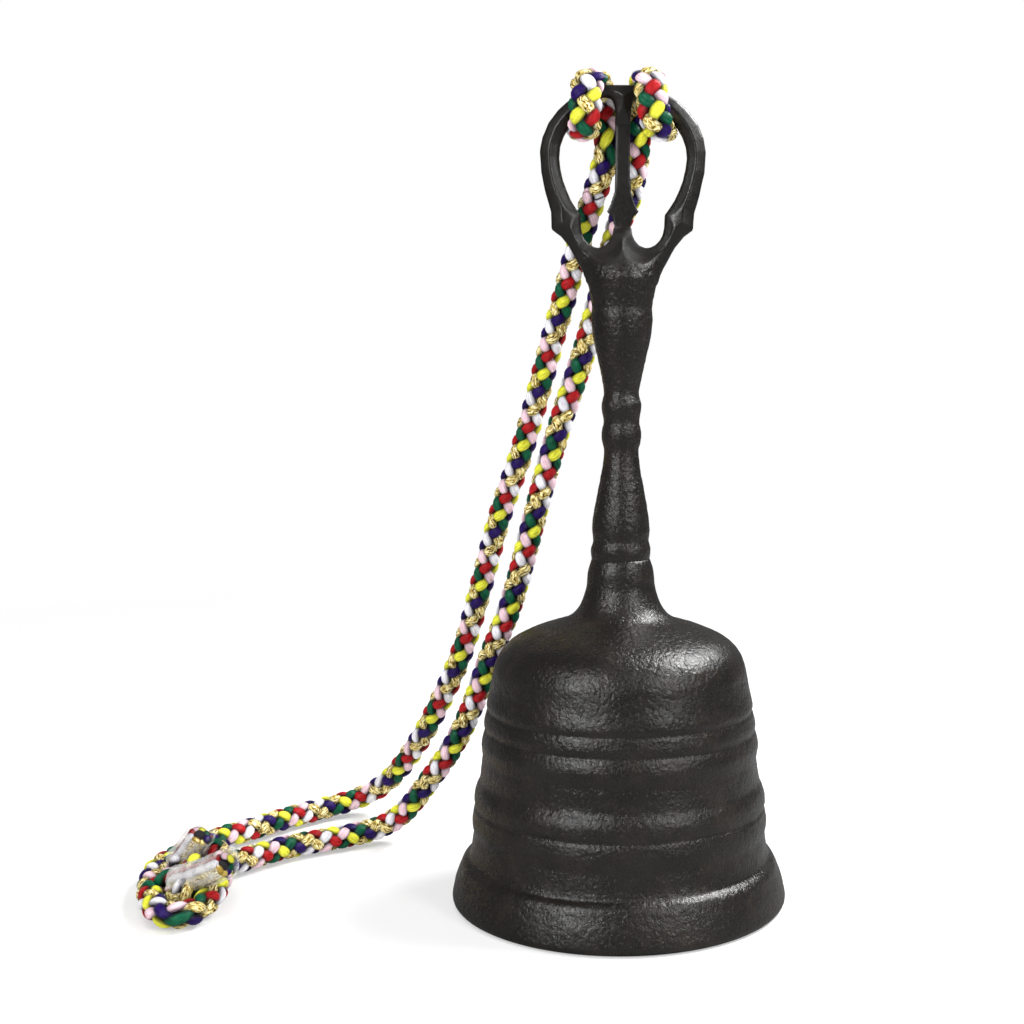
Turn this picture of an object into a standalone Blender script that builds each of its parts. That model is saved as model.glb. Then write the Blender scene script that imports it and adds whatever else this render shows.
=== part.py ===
"""Cast-iron temple hand bell with a three-pronged handle and a braided cord.

Metres, +Z up.  The origin is the centre of the lip's rest ring, on the surface the bell stands on.
The handle stands along +Z, the prongs lie in the X-Z plane and the cord falls away behind, to -X.
Every dimension below is in millimetres and is scaled by MM where it is used.
"""

import math

import bmesh
import bpy
import numpy as np
from mathutils import Matrix, Vector

MM = 0.001
GAP = 0.3            # between pieces that touch

# bell
LIP_RADIUS = 39.8
REST_RADIUS = 35.2   # inner edge of the flat rest ring
NECK_TOP = 81.3      # the bell's neck ends in the groove under the handle's foot ring
BORE_RADIUS = 4.2    # for the handle's tenon
CROWN_SEAT = 62.4    # flat seat under the crown

# handle
HEIGHT = 190.8
TENON_RADIUS = 3.9
TENON_END = 56.0
HEAD_HALF_THICKNESS = 2.2

# clapper
EYE_CENTRE = 50.9
EYE_RADIUS = 2.6
WIRE_RADIUS = 0.9
RING_RADIUS = 4.0
RING_WIRE = 0.85
BALL_RADIUS = 8.0
BALL_CENTRE = 15.0
ROD_RADIUS = 1.7

RING_PIVOT = EYE_CENTRE - EYE_RADIUS + WIRE_RADIUS + RING_WIRE + GAP      # the ring's upper wire, in the eye
RING_CENTRE = RING_PIVOT - RING_RADIUS
ROD_EYE_CENTRE = RING_CENTRE - RING_RADIUS + RING_WIRE + GAP + WIRE_RADIUS - EYE_RADIUS

# cord
CORD_DIAMETER = 6.4
HITCH_DIAMETER = 4.2     # the cord pulls flat where it is hitched round the prongs
TAIL_DIAMETER = 6.0      # the taped ends are squeezed a little
TAPE_THICKNESS = 0.4

SCREW_STEPS_BELL = 40
SCREW_STEPS_HANDLE = 24

for o in list(bpy.data.objects):
    bpy.data.objects.remove(o, do_unlink=True)

scene = bpy.context.scene
bell_parts = bpy.data.collections.new("temple_bell")
cutters = bpy.data.collections.new("cutters")
scene.collection.children.link(bell_parts)
scene.collection.children.link(cutters)


def material(name, colour, roughness, metallic, alpha=1.0):
    m = bpy.data.materials.new(name)
    m.use_nodes = True
    b = m.node_tree.nodes["Principled BSDF"]
    b.inputs["Base Color"].default_value = (*colour, 1)
    b.inputs["Roughness"].default_value = roughness
    b.inputs["Metallic"].default_value = metallic
    b.inputs["Alpha"].default_value = alpha
    m.diffuse_color = (*colour, alpha)
    return m


def own(name):
    """Each node gets a material of its own, made from its family's finish."""
    family = {
        "iron": ((0.030, 0.028, 0.026), 0.55, 0.6),
        "steel": ((0.16, 0.15, 0.14), 0.45, 0.9),
        "cord": ((0.55, 0.38, 0.22), 0.6, 0.0),
        "tape": ((0.80, 0.80, 0.76), 0.3, 0.0),
    }
    kinds = {
        "bell_shell": "iron", "handle": "iron", "clapper_rod": "iron", "clapper_ball": "iron",
        "crown_washer": "steel", "tenon_nut": "steel", "clapper_eye": "steel", "clapper_ring": "steel",
        "tape_wrap_1": "tape", "tape_wrap_2": "tape",
    }
    return material(name + "_finish", *family[kinds.get(name, "cord")])


def put(obj, collection=bell_parts):
    for c in list(obj.users_collection):
        c.objects.unlink(obj)
    collection.objects.link(obj)
    if collection is cutters:
        obj.hide_render = True
        obj.display_type = "WIRE"
    return obj


def dress(obj, name):
    obj.name = name
    obj.data.name = name
    obj.data.materials.clear()
    obj.data.materials.append(own(name))
    return obj


def turned(name, profile, steps, closed, collection=bell_parts):
    """A profile of (radius, height) that runs down its outer side, swept round Z by a Screw modifier."""
    mesh = bpy.data.meshes.new(name)
    verts = [(r * MM, 0.0, z * MM) for r, z in profile]
    edges = [(i, i + 1) for i in range(len(verts) - 1)]
    if closed:
        edges.append((len(verts) - 1, 0))
    mesh.from_pydata(verts, edges, [])
    obj = bpy.data.objects.new(name, mesh)
    collection.objects.link(obj)
    s = obj.modifiers.new("turn", "SCREW")
    s.axis = "Z"
    s.steps = s.render_steps = steps
    s.use_merge_vertices = True
    s.merge_threshold = 0.00001
    s.use_smooth_shade = True
    return obj


def smooth_route(points, step):
    """A Catmull-Rom curve through the route's points, read off every step millimetres."""
    p = np.array(points, float)
    p = np.vstack([2 * p[0] - p[1], p, 2 * p[-1] - p[-2]])
    fine = []
    for i in range(1, len(p) - 2):
        a, b, c, d = p[i - 1], p[i], p[i + 1], p[i + 2]
        for t in np.linspace(0, 1, 24, endpoint=False):
            fine.append(
                0.5 * (2 * b + (c - a) * t + (2 * a - 5 * b + 4 * c - d) * t**2 + (3 * b - a - 3 * c + d) * t**3)
            )
    fine.append(p[-2])
    fine = np.array(fine)
    along = np.concatenate([[0], np.cumsum(np.linalg.norm(np.diff(fine, axis=0), axis=1))])
    count = max(2, int(round(along[-1] / step)) + 1)
    at = np.linspace(0, along[-1], count)
    return np.stack([np.interp(at, along, fine[:, k]) for k in range(3)], 1)


def tube(name, points, radius, resolution=2, collection=bell_parts):
    """A round tube along points, as a POLY curve with a bevel and filled caps."""
    curve = bpy.data.curves.new(name, "CURVE")
    curve.dimensions = "3D"
    curve.twist_mode = "MINIMUM"
    curve.bevel_depth = radius * MM
    curve.bevel_resolution = resolution
    curve.use_fill_caps = True
    s = curve.splines.new("POLY")
    s.points.add(len(points) - 1)
    for q, p in zip(s.points, points):
        q.co = (p[0] * MM, p[1] * MM, p[2] * MM, 1)
    obj = bpy.data.objects.new(name, curve)
    collection.objects.link(obj)
    return obj


def as_mesh(obj, name, collection):
    """The curve's shape as a mesh with its caps welded.  The curve is removed."""
    bpy.context.view_layer.update()
    dg = bpy.context.evaluated_depsgraph_get()
    mesh = bpy.data.meshes.new_from_object(obj.evaluated_get(dg))
    bm = bmesh.new()
    bm.from_mesh(mesh)
    bmesh.ops.remove_doubles(bm, verts=bm.verts, dist=0.000001)
    bmesh.ops.recalc_face_normals(bm, faces=bm.faces)
    bm.to_mesh(mesh)
    bm.free()
    new = bpy.data.objects.new(name, mesh)
    new.matrix_world = obj.matrix_world.copy()
    collection.objects.link(new)
    bpy.data.objects.remove(obj, do_unlink=True)
    return new


def join(obj, other, operation="UNION"):
    m = obj.modifiers.new(operation.lower() + "_" + other.name, "BOOLEAN")
    m.operation = operation
    m.solver = "EXACT"
    m.object = other


def smooth(obj, angle=35):
    if obj.type == "MESH" and len(obj.data.polygons):
        obj.data.shade_smooth()
        obj.data.set_sharp_from_angle(angle=math.radians(angle))


def torus(name, radius, wire, centre, collection, turn=(0, 0, 0), around=24, section=8):
    bpy.ops.mesh.primitive_torus_add(
        major_radius=radius * MM, minor_radius=wire * MM, major_segments=around, minor_segments=section,
        location=[c * MM for c in centre], rotation=turn,
    )
    obj = bpy.context.active_object
    obj.name = name
    put(obj, collection)
    return obj


def cylinder(name, radius, low, high, sides, collection, x=0.0, y=0.0):
    bpy.ops.mesh.primitive_cylinder_add(
        vertices=sides, radius=radius * MM, depth=(high - low) * MM, location=(x * MM, y * MM, (low + high) / 2 * MM)
    )
    obj = bpy.context.active_object
    obj.name = name
    put(obj, collection)
    return obj


# ---------------------------------------------------------------- bell shell
# Outer side from the neck down over the flare, the shoulder, three shallow cast ridges, the two
# lower ridges and the thick lip; then up the inside to the crown seat and the tenon's bore.
bell_outer = [
    (BORE_RADIUS, NECK_TOP), (6.7, NECK_TOP), (7.1, 80.6), (7.6, 79.2), (7.9, 77.6), (8.1, 75.2),
    (8.4, 73.4), (9.0, 71.6), (10.0, 69.5), (11.5, 67.8), (13.5, 66.7), (16.5, 65.8), (20.0, 64.6),
    (23.5, 63.1), (26.4, 61.2), (28.5, 58.8), (29.8, 55.8), (30.3, 53.0), (30.9, 50.2),
    (31.6, 47.2), (31.4, 45.5), (32.1, 43.4), (31.9, 40.9), (32.9, 38.0), (32.7, 34.5), (32.8, 31.8),
    (33.2, 28.9), (34.4, 26.2), (34.5, 24.8), (34.2, 22.9), (35.0, 20.0), (34.8, 16.4), (35.2, 12.8),
    (36.1, 10.7), (37.5, 9.2), (38.5, 6.6), (39.4, 3.2), (LIP_RADIUS, 1.2), (39.3, 0.0),
]
bell_inner = [
    (REST_RADIUS, 0.0), (34.4, 2.0), (33.0, 5.5), (31.9, 9.5), (31.2, 15.0), (30.4, 23.0), (29.5, 32.0),
    (28.5, 41.0), (27.5, 48.0), (26.2, 53.2), (24.0, 57.2), (20.5, 60.0), (16.5, 61.5), (10.8, CROWN_SEAT),
    (BORE_RADIUS, CROWN_SEAT),
]
bell_shell = dress(turned("bell_shell", bell_outer + bell_inner, SCREW_STEPS_BELL, closed=True), "bell_shell")

# ---------------------------------------------------------------- handle
# A turned grip with a foot ring, a bulge, twin beads and a cup-shaped top; a tenon below it goes
# through the bell's neck and has a blind hole for the clapper's eye.
foot = NECK_TOP + GAP
grip = [
    (0.0, 151.2), (9.7, 151.0), (10.1, 150.0), (9.3, 148.2), (8.4, 146.6), (7.9, 145.0), (7.4, 142.0),
    (7.0, 140.0), (7.15, 137.4), (6.95, 134.0), (6.4, 131.6), (5.7, 128.6), (5.0, 125.2), (4.35, 122.2),
    (4.12, 120.4), (4.45, 118.5), (4.67, 117.0), (4.45, 115.2), (4.18, 113.6), (4.45, 112.0), (4.67, 110.4),
    (4.45, 108.5), (4.05, 106.4), (4.4, 103.2), (5.0, 99.8), (5.7, 95.9), (6.35, 92.2), (6.75, 89.0),
    (6.75, 87.2), (6.5, 85.6), (6.95, 84.0), (7.05, 82.9), (6.7, foot),
    (TENON_RADIUS, foot), (TENON_RADIUS, TENON_END + 0.4), (TENON_RADIUS - 0.4, TENON_END), (1.5, TENON_END),
    (1.5, 64.0), (0.0, 64.6),
]
handle = dress(turned("handle", grip, SCREW_STEPS_HANDLE, closed=False), "handle")

# The head: one flat outline with an opening on each side of the middle prong.  Right half, then mirrored.
head_edge = [
    (0.0, 148.0), (8.6, 148.0), (9.6, 149.2), (11.0, 151.6), (12.3, 153.9), (14.2, 156.3), (16.4, 157.9),
    (16.6, 161.8), (17.9, 166.3), (18.9, 171.0), (19.2, 175.6), (18.2, 180.0), (16.1, 183.6), (13.2, 186.5),
    (9.8, 188.8), (6.8, 190.2), (4.3, HEIGHT), (0.0, HEIGHT),
]
head_opening = [
    (5.3, 153.7), (7.2, 154.1), (8.9, 155.5), (9.7, 157.8), (9.8, 161.3), (11.0, 162.9), (13.0, 166.8),
    (14.4, 171.2), (14.7, 175.2), (13.7, 178.8), (11.4, 182.0), (8.3, 185.4), (5.2, 187.9), (3.2, 187.7),
    (2.1, 186.2), (1.85, 184.0), (1.85, 169.0), (2.2, 166.2), (3.0, 163.7), (3.8, 161.9), (2.5, 160.6),
    (2.05, 158.6), (2.4, 156.3), (3.6, 154.5),
]
outline = bpy.data.curves.new("head_outline", "CURVE")
outline.dimensions = "2D"
outline.fill_mode = "BOTH"
outline.extrude = HEAD_HALF_THICKNESS * MM
loops = [
    head_edge + [(-x, z) for x, z in reversed(head_edge[1:-1])],
    head_opening,
    [(-x, z) for x, z in reversed(head_opening)],
]
for loop in loops:
    s = outline.splines.new("POLY")
    s.points.add(len(loop) - 1)
    for q, (x, z) in zip(s.points, loop):
        q.co = (x * MM, z * MM, 0, 1)
    s.use_cyclic_u = True
flat = bpy.data.objects.new("head_outline", outline)
bell_parts.objects.link(flat)
flat.rotation_euler = (math.radians(90), 0, 0)
head = as_mesh(flat, "head_plate", cutters)
put(head, cutters)
join(handle, head)

# ---------------------------------------------------------------- fixings under the crown
washer_top = CROWN_SEAT - GAP
washer = dress(
    turned("crown_washer", [(BORE_RADIUS, washer_top), (9.0, washer_top), (9.2, washer_top - 0.4),
                            (9.2, washer_top - 1.4), (8.9, washer_top - 1.8), (BORE_RADIUS, washer_top - 1.8)], 24, closed=True),
    "crown_washer",
)
nut_top = washer_top - 1.8 - GAP
nut = dress(cylinder("tenon_nut", 6.9, nut_top - 3.2, nut_top, 6, bell_parts), "tenon_nut")
nut_hole = cylinder("nut_hole", BORE_RADIUS, nut_top - 6, nut_top + 3, 24, cutters)
join(nut, nut_hole, "DIFFERENCE")

# ---------------------------------------------------------------- clapper
# Eye screw: its shank sits in the tenon's blind hole, its hole runs along X.
eye = torus("clapper_eye", EYE_RADIUS, WIRE_RADIUS, (0, 0, EYE_CENTRE), bell_parts, turn=(0, math.radians(90), 0))
dress(eye, "clapper_eye")
shank = cylinder("eye_shank", 1.2, EYE_CENTRE + EYE_RADIUS - 0.4, 63.4, 12, cutters)
join(eye, shank)

# Ring in the X-Z plane, hung in the eye.  Its origin is on its swing axis.
ring = torus("clapper_ring", RING_RADIUS, RING_WIRE, (0, 0, RING_CENTRE), bell_parts, turn=(math.radians(90), 0, 0))
dress(ring, "clapper_ring")
pivot = Vector((0, 0, RING_PIVOT * MM))
world = ring.matrix_world.copy()
bpy.context.view_layer.update()
world = ring.matrix_world.copy()
ring.data.transform(world)
ring.data.transform(Matrix.Translation(-pivot))
ring.matrix_world = Matrix.Translation(pivot)

# Rod with an eye, and the ball on its lower end, both under an empty on the clapper's swing axis.
swing = bpy.data.objects.new("clapper_swing_axis", None)
bell_parts.objects.link(swing)
swing.location = (0, 0, RING_CENTRE * MM)

rod_top = ROD_EYE_CENTRE - EYE_RADIUS + 0.3
rod_end = BALL_CENTRE - 3.0
rod = dress(
    turned("clapper_rod", [(0.0, rod_top), (1.1, rod_top - 0.2), (1.35, rod_top - 2.0), (1.5, 30.0), (ROD_RADIUS, BALL_CENTRE + 9.0),
                           (ROD_RADIUS, rod_end), (0.0, rod_end)], 12, closed=False),
    "clapper_rod",
)
rod_eye = torus("rod_eye", EYE_RADIUS, WIRE_RADIUS, (0, 0, ROD_EYE_CENTRE), cutters, turn=(0, math.radians(90), 0))
join(rod, rod_eye)

socket = ROD_RADIUS + GAP
top_z = BALL_CENTRE + math.sqrt(BALL_RADIUS**2 - (socket + 0.5) ** 2)
ball_profile = [(socket, rod_end - GAP), (socket, top_z + 0.4), (socket + 0.5, top_z)]
start = math.asin((socket + 0.5) / BALL_RADIUS)
for k in range(1, 12):
    a = start + (math.pi - start) * k / 11
    ball_profile.append((BALL_RADIUS * math.sin(a) if k < 11 else 0.0, BALL_CENTRE + BALL_RADIUS * math.cos(a)))
ball_profile = [(0.0, rod_end - GAP)] + ball_profile
ball = dress(turned("clapper_ball", ball_profile, 24, closed=False), "clapper_ball")
for piece in (rod, ball):
    piece.parent = swing
    piece.matrix_parent_inverse = Matrix.Translation(-swing.location)

# ---------------------------------------------------------------- cord
# One cord, doubled: hitched round the head, two falls to the table behind the bell, a knot in both,
# and two taped ends.  Points are its centre line.
hitch_left = [
    (-6.5, 7.6, 167.6), (-4.7, 6.4, 172.8), (-3.8, 5.75, 178.5), (-3.8, 5.7, 184.5), (-4.2, 5.4, 189.0),
    (-5.2, 3.6, 192.5), (-6.4, 0.2, 193.3), (-7.4, -3.2, 192.4), (-8.2, -5.2, 188.8), (-8.6, -5.2, 185.2),
    (-8.9, -4.9, 182.4), (-9.3, -2.6, 180.2), (-9.7, 0.8, 179.6), (-9.9, 4.6, 180.6), (-9.4, 8.8, 183.0),
    (-6.0, 11.7, 184.8),
]
hitch_right = [
    (1.9, 8.5, 167.8), (2.9, 6.8, 172.8), (3.5, 5.75, 178.5), (3.5, 5.7, 184.5), (3.8, 5.4, 189.0),
    (4.6, 3.6, 192.8), (5.3, 0.2, 193.7), (5.9, -3.2, 192.8), (6.5, -5.2, 189.0), (7.2, -5.2, 185.2),
    (7.9, -4.9, 182.4), (8.8, -2.6, 180.2), (9.6, 0.8, 179.6), (9.9, 4.6, 180.6), (9.4, 8.8, 183.0),
    (6.0, 11.7, 184.8),
]
hitch_route = hitch_left + [(0.0, 12.2, 185.4)] + hitch_right[::-1]
hitch = dress(tube("cord_hitch", smooth_route(hitch_route, 2.6), HITCH_DIAMETER / 2), "cord_hitch")

fall_left_route = [
    (-6.75, 7.75, 166.9), (-9.3, 10.5, 159.5), (-11.5, 13.0, 153.0), (-14.3, 16.5, 143.0), (-17.1, 19.5, 134.0),
    (-21.9, 24.5, 117.0), (-26.2, 28.0, 103.0), (-31.0, 31.5, 90.0), (-35.1, 34.5, 75.5), (-40.5, 38.5, 56.5),
    (-44.5, 42.0, 46.0), (-49.0, 46.0, 36.5), (-54.0, 51.0, 27.0), (-59.2, 56.4, 18.8), (-64.3, 61.0, 11.9),
    (-69.8, 63.9, 6.9), (-75.6, 63.9, 4.3), (-80.9, 60.6, 3.5), (-85.6, 55.8, 3.4), (-90.5, 50.0, 3.4),
    (-95.0, 43.8, 3.4), (-99.0, 38.0, 3.4), (-103.6, 31.6, 3.4), (-107.2, 24.6, 3.4), (-110.2, 17.8, 3.4),
    (-112.4, 11.8, 3.5), (-112.9, 9.2, 3.6),
]
fall_right_route = [
    (1.8, 8.7, 167.0), (-1.1, 11.6, 160.4), (-2.3, 13.2, 156.0), (-3.8, 14.2, 150.0), (-5.7, 14.6, 142.7),
    (-8.1, 15.2, 134.0), (-11.2, 16.2, 124.5), (-14.6, 17.2, 114.5), (-18.3, 18.6, 102.0), (-21.5, 19.8, 90.0),
    (-24.9, 21.0, 77.0), (-28.5, 22.6, 64.5), (-32.0, 24.2, 56.5), (-35.0, 26.0, 48.5), (-38.0, 28.0, 40.0),
    (-42.0, 30.5, 31.0), (-46.5, 33.0, 23.5), (-51.5, 35.5, 16.5), (-56.0, 37.5, 10.0), (-60.0, 38.3, 6.0),
    (-64.5, 37.6, 4.0), (-69.5, 34.8, 3.4), (-74.8, 31.0, 3.4), (-80.0, 27.5, 3.4), (-85.2, 24.0, 3.4),
    (-89.7, 19.0, 3.4), (-94.0, 13.0, 3.4), (-98.0, 9.0, 3.5),
]
fall_left = dress(tube("cord_fall_left", smooth_route(fall_left_route, 6.0), CORD_DIAMETER / 2), "cord_fall_left")
fall_right = dress(tube("cord_fall_right", smooth_route(fall_right_route, 6.0), CORD_DIAMETER / 2), "cord_fall_right")

# The knot's outer shape: a low rounded lump that both falls run into.
KNOT_CENTRE, KNOT_HALF = (-103.6, -10.2, 3.8), (12.6, 18.4, 3.6)
bpy.ops.mesh.primitive_uv_sphere_add(segments=24, ring_count=12, radius=1.0, location=(0, 0, 0))
knot = bpy.context.active_object
put(knot)
for v in knot.data.vertices:
    # fuller than an ellipsoid, because the strands inside it are round
    n = v.co.normalized()
    fill = (abs(n.x) ** 2.6 + abs(n.y) ** 2.6 + abs(n.z) ** 2.6) ** (-1 / 2.6)
    v.co = Vector([KNOT_CENTRE[k] + KNOT_HALF[k] * n[k] * fill for k in range(3)]) * MM
dress(knot, "cord_knot")
smooth(knot)

tail_routes = [
    [(-108.0, 2.2, 11.4), (-105.4, 1.8, 12.0), (-102.9, 1.1, 13.6), (-100.7, 0.3, 15.6)],
    [(-104.4, -9.2, 11.4), (-100.0, -11.2, 11.4), (-95.4, -12.6, 11.7), (-91.0, -13.4, 12.4)],
]
for k, route in enumerate(tail_routes, 1):
    line = smooth_route(route, 2.2)
    dress(tube(f"cord_tail_{k}", line, TAIL_DIAMETER / 2), f"cord_tail_{k}")
    # The tape: an open sleeve round the tail, a film thick, that reaches a little past its cut end.
    ahead = (line[-1] - line[-2]) / np.linalg.norm(line[-1] - line[-2])
    sleeve_line = np.vstack([line[1:], line[-1] + 1.2 * ahead])
    inner = TAIL_DIAMETER / 2 + GAP
    outer = as_mesh(tube(f"tape_wrap_{k}", sleeve_line, inner + TAPE_THICKNESS), f"tape_wrap_{k}", bell_parts)
    reach = np.vstack([line[1] - 2.0 * (line[2] - line[1]) / np.linalg.norm(line[2] - line[1]), line[1:], line[-1] + 4.0 * ahead])
    hollow = as_mesh(tube(f"tape_hollow_{k}", reach, inner), f"tape_hollow_{k}", cutters)
    put(hollow, cutters)
    join(outer, hollow, "DIFFERENCE")
    dress(outer, f"tape_wrap_{k}")

for o in bell_parts.objects:
    if o.type == "MESH":
        smooth(o)
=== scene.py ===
"""The looks of a cast-iron temple hand bell with a braided cord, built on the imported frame."""
import math

import bmesh
import bpy
import numpy as np
from mathutils import Matrix, Vector


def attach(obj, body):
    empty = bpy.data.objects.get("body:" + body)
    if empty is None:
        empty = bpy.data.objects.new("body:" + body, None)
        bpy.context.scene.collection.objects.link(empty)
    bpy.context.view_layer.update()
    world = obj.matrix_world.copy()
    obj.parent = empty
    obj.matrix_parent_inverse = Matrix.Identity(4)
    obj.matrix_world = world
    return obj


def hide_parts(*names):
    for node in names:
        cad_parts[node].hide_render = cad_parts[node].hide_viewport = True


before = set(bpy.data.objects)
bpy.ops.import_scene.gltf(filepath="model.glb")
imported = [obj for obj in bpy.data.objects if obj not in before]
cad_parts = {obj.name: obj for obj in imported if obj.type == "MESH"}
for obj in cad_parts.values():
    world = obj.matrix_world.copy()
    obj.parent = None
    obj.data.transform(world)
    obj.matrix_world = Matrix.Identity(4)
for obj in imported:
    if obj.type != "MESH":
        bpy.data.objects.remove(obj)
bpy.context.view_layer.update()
MM = 0.001
rng = np.random.default_rng(7)

# ================================================================== camera
CAM_AT = (0.00161, -0.33437, 0.11906)
PITCH, ROLL = math.radians(4.595), math.radians(0.327)
forward = Vector((0, math.cos(PITCH), -math.sin(PITCH)))
level = Vector((1, 0, 0))
upward = level.cross(forward)
right = level * math.cos(ROLL) + upward * math.sin(ROLL)
top = upward * math.cos(ROLL) - level * math.sin(ROLL)
data = bpy.data.cameras.new("camera")
data.lens = 50
data.sensor_width = 36
data.shift_x = -0.1131
data.clip_start = 0.01
cam = bpy.data.objects.new("camera", data)
bpy.context.scene.collection.objects.link(cam)
m = Matrix.Identity(4)
for k in range(3):
    m[k][0], m[k][1], m[k][2], m[k][3] = right[k], top[k], -forward[k], CAM_AT[k]
cam.matrix_world = m
bpy.context.scene.camera = cam


# ================================================================== small tools
def perlin(p, seed=0):
    """Gradient noise at points p (n x 3), about -1 to 1."""
    g = np.random.default_rng(1000 + seed)
    table = g.permutation(4096)
    grad = g.normal(size=(4096, 3))
    grad /= np.linalg.norm(grad, axis=1)[:, None]
    cell = np.floor(p).astype(np.int64)
    f = p - cell
    u = f * f * f * (f * (f * 6 - 15) + 10)
    out = 0
    for i in (0, 1):
        for j in (0, 1):
            for k in (0, 1):
                h = table[(table[(table[(cell[:, 0] + i) & 4095] + cell[:, 1] + j) & 4095] + cell[:, 2] + k) & 4095]
                d = (grad[h] * (f - (i, j, k))).sum(1)
                w = (u[:, 0] if i else 1 - u[:, 0]) * (u[:, 1] if j else 1 - u[:, 1]) * (u[:, 2] if k else 1 - u[:, 2])
                out = out + w * d
    return out * 1.5


def pieces_mesh(name, verts, quads, uv=None, uv_faces=None, smooth=True, more=None):
    """A mesh object from an array of vertices in millimetres and an array of quads."""
    mesh = bpy.data.meshes.new(name)
    mesh.vertices.add(len(verts))
    mesh.vertices.foreach_set("co", (np.asarray(verts, np.float32) * MM).ravel())
    quads = np.asarray(quads, np.int32)
    n = quads.shape[1]
    mesh.loops.add(quads.size)
    mesh.loops.foreach_set("vertex_index", quads.ravel())
    mesh.polygons.add(len(quads))
    mesh.polygons.foreach_set("loop_start", np.arange(0, quads.size, n, dtype=np.int32))
    mesh.polygons.foreach_set("loop_total", np.full(len(quads), n, np.int32))
    mesh.update(calc_edges=True)
    if uv is not None:
        layer = mesh.uv_layers.new(name="along")
        flat = uv[quads.ravel()] if uv_faces is None else uv_faces.reshape(-1, 2)
        layer.data.foreach_set("uv", np.asarray(flat, np.float32).ravel())
    for key, per_vertex in (more or {}).items():
        layer = mesh.uv_layers.new(name=key)
        layer.data.foreach_set("uv", np.asarray(per_vertex[quads.ravel()], np.float32).ravel())
    if smooth:
        mesh.polygons.foreach_set("use_smooth", np.ones(len(quads), bool))
    mesh.validate()
    obj = bpy.data.objects.new(name, mesh)
    bpy.context.scene.collection.objects.link(obj)
    return obj


def catmull(points, per=24):
    p = np.array(points, float)
    p = np.vstack([2 * p[0] - p[1], p, 2 * p[-1] - p[-2]])
    fine = []
    for i in range(1, len(p) - 2):
        a, b, c, d = p[i - 1], p[i], p[i + 1], p[i + 2]
        for t in np.linspace(0, 1, per, endpoint=False):
            fine.append(0.5 * (2 * b + (c - a) * t + (2 * a - 5 * b + 4 * c - d) * t**2 + (3 * b - a - 3 * c + d) * t**3))
    fine.append(p[-2])
    return np.array(fine)


def resample(line, step=None, count=None):
    along = np.concatenate([[0], np.cumsum(np.linalg.norm(np.diff(line, axis=0), axis=1))])
    if count is None:
        count = max(2, int(round(along[-1] / step)) + 1)
    at = np.linspace(0, along[-1], count)
    return np.stack([np.interp(at, along, line[:, k]) for k in range(line.shape[1])], 1)


def relax(line, rounds, hold_ends=2):
    """Evens out a line's small kinks, its ends held."""
    line = line.copy()
    for _ in range(rounds):
        mid = 0.5 * line[1:-1] + 0.25 * (line[:-2] + line[2:])
        line[hold_ends:-hold_ends] = mid[hold_ends - 1 : len(mid) - hold_ends + 1]
    return line


# ================================================================== materials
class Nodes:
    """Short-hand for building a node tree."""

    def __init__(self, name):
        self.m = bpy.data.materials.new(name)
        self.m.use_nodes = True
        self.t = self.m.node_tree
        self.t.nodes.clear()
        self.out = self.t.nodes.new("ShaderNodeOutputMaterial")

    def new(self, kind, **inputs):
        n = self.t.nodes.new(kind)
        for k, v in inputs.items():
            if hasattr(n, k) and not k[0].isupper():
                setattr(n, k, v)
            else:
                self.put(n, k.replace("_", " "), v)
        return n

    def put(self, n, socket, v):
        if isinstance(v, tuple) and len(v) == 2 and hasattr(v[0], "outputs"):
            self.t.links.new(v[0].outputs[v[1]], n.inputs[socket])
        elif hasattr(v, "outputs"):
            self.t.links.new(v.outputs[0], n.inputs[socket])
        else:
            n.inputs[socket].default_value = v

    def math(self, op, a, b=None, c=None, clamp=False):
        n = self.t.nodes.new("ShaderNodeMath")
        n.operation = op
        n.use_clamp = clamp
        for i, v in enumerate((a, b, c)):
            if v is not None:
                self.put(n, i, v)
        return n

    def ramp(self, fac, *stops, interpolation="LINEAR"):
        n = self.t.nodes.new("ShaderNodeValToRGB")
        n.color_ramp.interpolation = interpolation
        e = n.color_ramp.elements
        while len(e) < len(stops):
            e.new(0.5)
        for el, (pos, col) in zip(e, stops):
            el.position = pos
            el.color = (*col, 1) if len(col) == 3 else col
        self.put(n, 0, fac)
        return n

    def mix(self, fac, a, b, blend="MIX"):
        n = self.t.nodes.new("ShaderNodeMix")
        n.data_type = "RGBA"
        n.blend_type = blend
        self.put(n, 0, fac)
        for i, v in ((6, a), (7, b)):
            if isinstance(v, tuple) and len(v) == 3 and not hasattr(v[0], "outputs"):
                v = (*v, 1)
            self.put(n, i, v)
        return (n, 2)

    def noise(self, scale, detail=4.0, rough=0.55, vector=None, **kw):
        n = self.t.nodes.new("ShaderNodeTexNoise")
        n.inputs["Scale"].default_value = scale
        n.inputs["Detail"].default_value = detail
        n.inputs["Roughness"].default_value = rough
        for k, v in kw.items():
            n.inputs[k].default_value = v
        if vector is not None:
            self.put(n, "Vector", vector)
        return n

    def bump(self, height, strength, distance, normal=None):
        n = self.t.nodes.new("ShaderNodeBump")
        n.inputs["Strength"].default_value = strength
        n.inputs["Distance"].default_value = distance
        self.put(n, "Height", height)
        if normal is not None:
            self.put(n, "Normal", normal)
        return n

    def done(self, shader):
        self.t.links.new(shader.outputs[0], self.out.inputs[0])
        return self.m


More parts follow.
